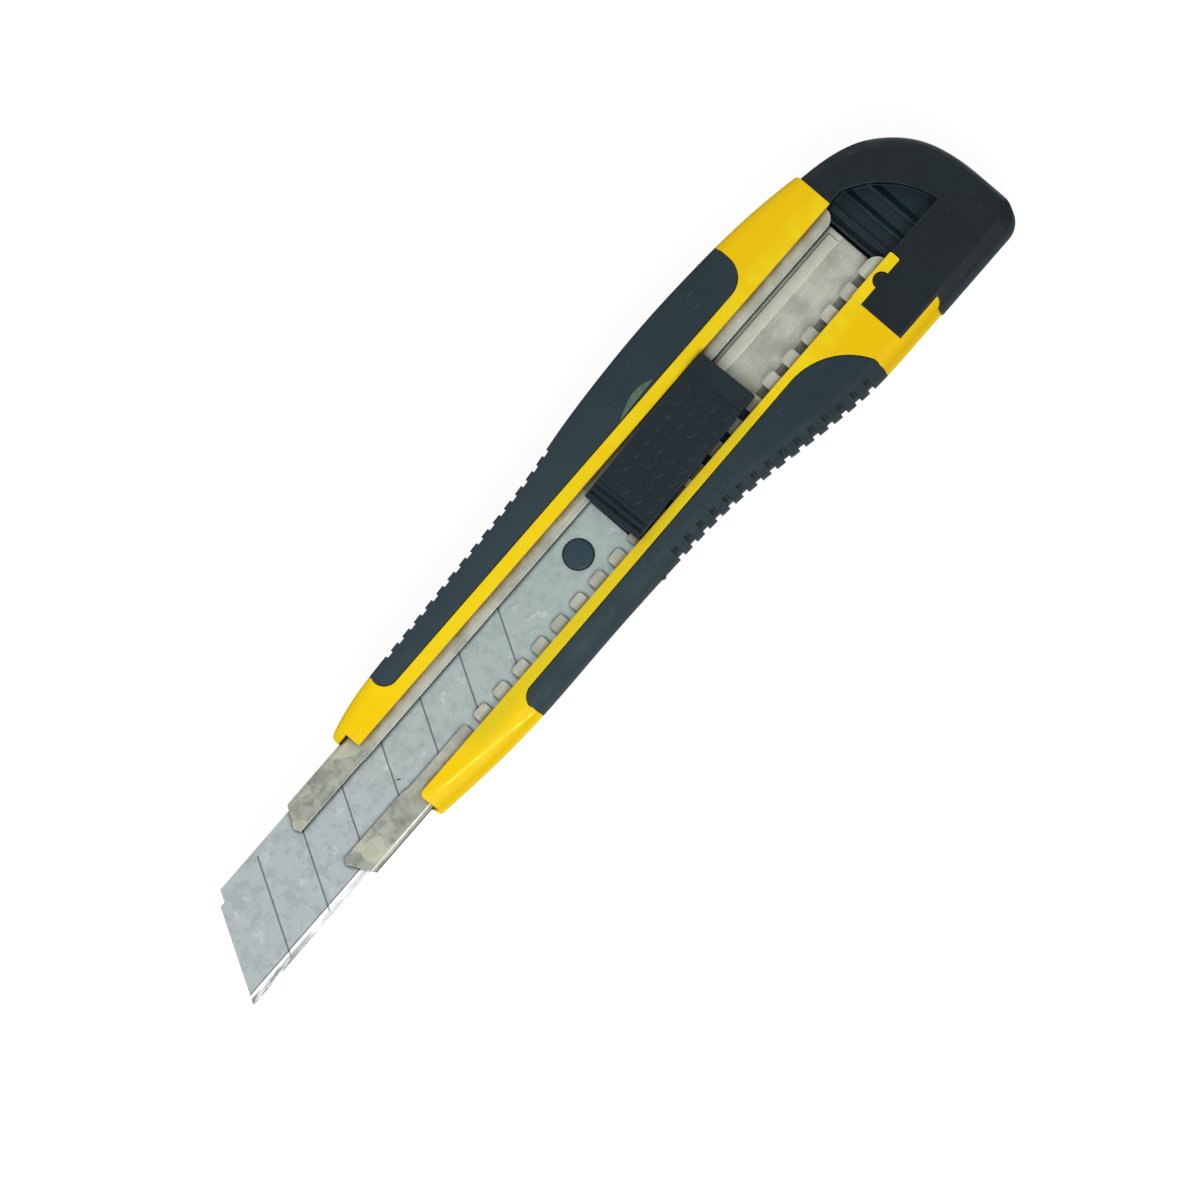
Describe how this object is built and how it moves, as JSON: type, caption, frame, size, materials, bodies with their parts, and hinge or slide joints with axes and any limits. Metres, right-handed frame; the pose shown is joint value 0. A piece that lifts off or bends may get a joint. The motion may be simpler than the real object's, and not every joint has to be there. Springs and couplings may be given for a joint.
{
  "type": "snap off knife",
  "caption": "Snap-off utility knife: moulded handle with soft grips, notched steel guide, scored blade on a sliding carrier, thumb slider with lock, pull-off end cap.",
  "frame": {"origin": "on the flat back of the handle, under the middle of the channel", "axes": "+X along the knife towards the rear cap, +Y towards the blade's blunt spine, +Z from the back to the slider face"},
  "size_m": [0.1956, 0.0383, 0.0188],
  "materials": {
    "handle_plastic": "satin moulded plastic, warm yellow",
    "grip_rubber": "matte soft overmould, dark slate",
    "guide_steel": "plated pressed sheet, slightly tarnished",
    "blade_steel": "ground carbon steel with a bright cutting bevel",
    "inner_plastic": "black moulded plastic",
    "spring_steel": "spring steel strip",
    "button_plastic": "fine textured black plastic",
    "cap_plastic": "fine textured black plastic"
  },
  "bodies": {
    "handle": {"handle_body": "handle_plastic", "spine_grip": "grip_rubber", "edge_grip": "grip_rubber", "blade_guide": "guide_steel", "latch_finger": "handle_plastic"},
    "slider": {"blade_carrier": "inner_plastic", "blade": "blade_steel", "lock_spring": "spring_steel"},
    "button": {"slider_button": "button_plastic"},
    "cap": {"end_cap": "cap_plastic"}
  },
  "joints": [
    {"name": "slider_travel", "type": "slide", "parent": "handle", "child": "slider", "axis": [-1, 0, 0], "range_m": [-0.0312, 0.0572], "deforming": ["lock_spring"]},
    {"name": "button_press", "type": "slide", "parent": "slider", "child": "button", "axis": [0, 0, -1], "range_m": [0, 0.0007], "stiffness_N_per_m": 2500, "springref_m": -0.0004, "deforming": ["lock_spring"]},
    {"name": "cap_pull", "type": "slide", "parent": "handle", "child": "cap", "axis": [1, 0, 0], "range_m": [0, 0.02], "deforming": ["latch_finger"]}
  ]
}
